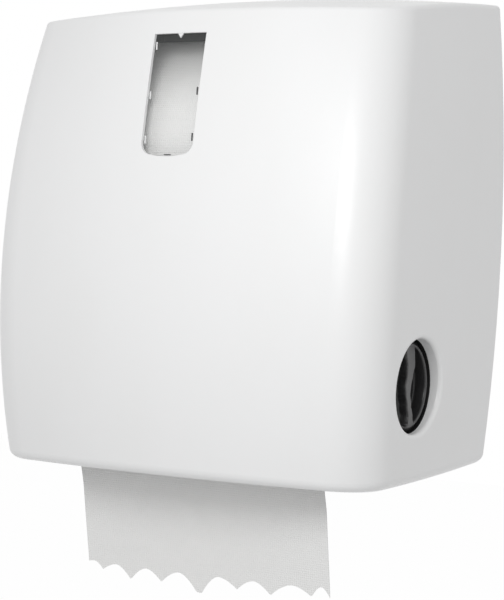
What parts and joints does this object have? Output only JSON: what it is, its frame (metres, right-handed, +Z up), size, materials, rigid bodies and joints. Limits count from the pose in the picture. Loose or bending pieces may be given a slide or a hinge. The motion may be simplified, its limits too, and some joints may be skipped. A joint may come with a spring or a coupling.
{
  "type": "paper towel dispenser",
  "caption": "Wall-mounted hands-free roll towel dispenser: moulded cover with sight window, side feed knob, feed drum with knife, and a towel hanging from the mouth.",
  "frame": {"origin": "centre of the four wall screws, on the back face that lies on the wall", "axes": "+X to the right as seen from the front, +Y into the wall, +Z up; the front faces -Y"},
  "size_m": [0.3374, 0.2124, 0.4644],
  "materials": {
    "cover_white": "satin, moulded white",
    "window_clear": "polished, clear",
    "chassis_grey": "moulded grey",
    "black_plastic": "moulded black",
    "dark_plastic": "moulded dark grey",
    "drum_plastic": "moulded grey",
    "white_acetal": "smooth natural white",
    "steel": "bright",
    "spring_steel": "drawn wire",
    "zinc_steel": "zinc plated",
    "chrome_plate": "polished",
    "nut_brass": "machined",
    "grip_rubber": "moulded",
    "towel_paper": "embossed white tissue",
    "wound_paper": "wound white tissue",
    "core_card": "brown board"
  },
  "bodies": {
    "chassis": {"back_plate": "chassis_grey", "left_cheek": "chassis_grey", "right_cheek": "chassis_grey", "cheek_screws": "zinc_steel", "hinge_pin_left": "steel", "hinge_pin_right": "steel", "latch_catch": "zinc_steel", "roll_arm_left": "dark_plastic", "arm_pivot_pin": "steel", "drum_bush_left": "white_acetal", "drum_bush_right": "white_acetal", "cam_plate": "white_acetal", "pawl_pin": "steel", "pawl_spring": "spring_steel", "spring_post": "steel", "assist_spring": "spring_steel", "drive_case": "chassis_grey", "case_screws": "zinc_steel", "pinch_pivots": "steel", "pinch_springs": "spring_steel", "towel_web": "towel_paper", "towel_tail": "towel_paper", "towel_chute": "dark_plastic", "stripper_comb": "dark_plastic"},
    "cover": {"cover_shell": "cover_white", "window_insert": "window_clear"},
    "lock": {"lock_barrel": "chrome_plate", "lock_cam": "zinc_steel", "lock_nut": "nut_brass"},
    "roll": {"towel_roll": "wound_paper", "roll_core": "core_card"},
    "left_spigot": {"spigot_left": "white_acetal"},
    "right_arm": {"roll_arm_right": "dark_plastic"},
    "right_spigot": {"spigot_right": "white_acetal"},
    "drum": {"drum_upper_half": "drum_plastic", "drum_lower_half": "drum_plastic", "drum_grip_bands": "grip_rubber", "drum_shaft": "steel", "drum_screws": "zinc_steel", "feed_knob": "black_plastic", "knob_pin": "steel", "ratchet_wheel": "white_acetal", "crank_disc": "dark_plastic", "knife_spring": "spring_steel"},
    "knife": {"knife_carrier": "dark_plastic", "knife_blade": "steel", "knife_pivots": "steel", "knife_arm": "zinc_steel", "cam_follower": "white_acetal"},
    "pawl": {"pawl": "zinc_steel"},
    "pinch_arms": {"pinch_frame": "zinc_steel"},
    "pinch_roller": {"pinch_shaft": "steel", "pinch_sleeves": "grip_rubber"}
  },
  "joints": [
    {"name": "cover_hinge", "type": "hinge", "parent": "chassis", "child": "cover", "pos_m": [0, -0.0095, -0.1495], "axis": [1, 0, 0], "range_deg": [0, 80]},
    {"name": "lock_turn", "type": "hinge", "parent": "cover", "child": "lock", "pos_m": [0, -0.024, 0.18], "axis": [0, 0, 1], "range_deg": [0, 90]},
    {"name": "drum_spin", "type": "hinge", "parent": "chassis", "child": "drum", "pos_m": [0, -0.1186, -0.1036], "axis": [1, 0, 0], "continuous": true, "deforming": ["assist_spring"]},
    {"name": "knife_swing", "type": "hinge", "parent": "drum", "child": "knife", "pos_m": [0, -0.11401, -0.13165], "axis": [1, 0, 0], "range_deg": [0, 30], "stiffness_Nm_per_rad": 0.05, "springref_deg": -20.05},
    {"name": "roll_spin", "type": "hinge", "parent": "chassis", "child": "roll", "pos_m": [0, -0.106, 0.056], "axis": [1, 0, 0], "continuous": true},
    {"name": "left_spigot_spin", "type": "hinge", "parent": "chassis", "child": "left_spigot", "pos_m": [-0.11, -0.106, 0.056], "axis": [1, 0, 0], "continuous": true},
    {"name": "arm_flex", "type": "hinge", "parent": "chassis", "child": "right_arm", "pos_m": [0.1101, -0.012, 0.056], "axis": [0, 0, 1], "range_deg": [0, 9], "stiffness_Nm_per_rad": 2, "springref_deg": -5.73},
    {"name": "right_spigot_spin", "type": "hinge", "parent": "right_arm", "child": "right_spigot", "pos_m": [0.11, -0.106, 0.056], "axis": [1, 0, 0], "continuous": true},
    {"name": "pawl_swing", "type": "hinge", "parent": "chassis", "child": "pawl", "pos_m": [-0.128, -0.09201, -0.09891], "axis": [1, 0, 0], "range_deg": [0, 10], "stiffness_Nm_per_rad": 0.01, "springref_deg": -11.46},
    {"name": "pinch_swing", "type": "hinge", "parent": "chassis", "child": "pinch_arms", "pos_m": [0, -0.15, -0.047], "axis": [-1, 0, 0], "range_deg": [0, 5], "stiffness_Nm_per_rad": 1.5, "springref_deg": -5.73},
    {"name": "pinch_spin", "type": "hinge", "parent": "pinch_arms", "child": "pinch_roller", "pos_m": [0, -0.16121, -0.079], "axis": [1, 0, 0], "continuous": true}
  ],
  "couplings": [
    {"joint": "roll_spin", "follows": "drum_spin", "ratio": -0.42605},
    {"joint": "left_spigot_spin", "follows": "drum_spin", "ratio": -0.42605},
    {"joint": "right_spigot_spin", "follows": "drum_spin", "ratio": -0.42605},
    {"joint": "pinch_spin", "follows": "drum_spin", "ratio": -3.86}
  ]
}
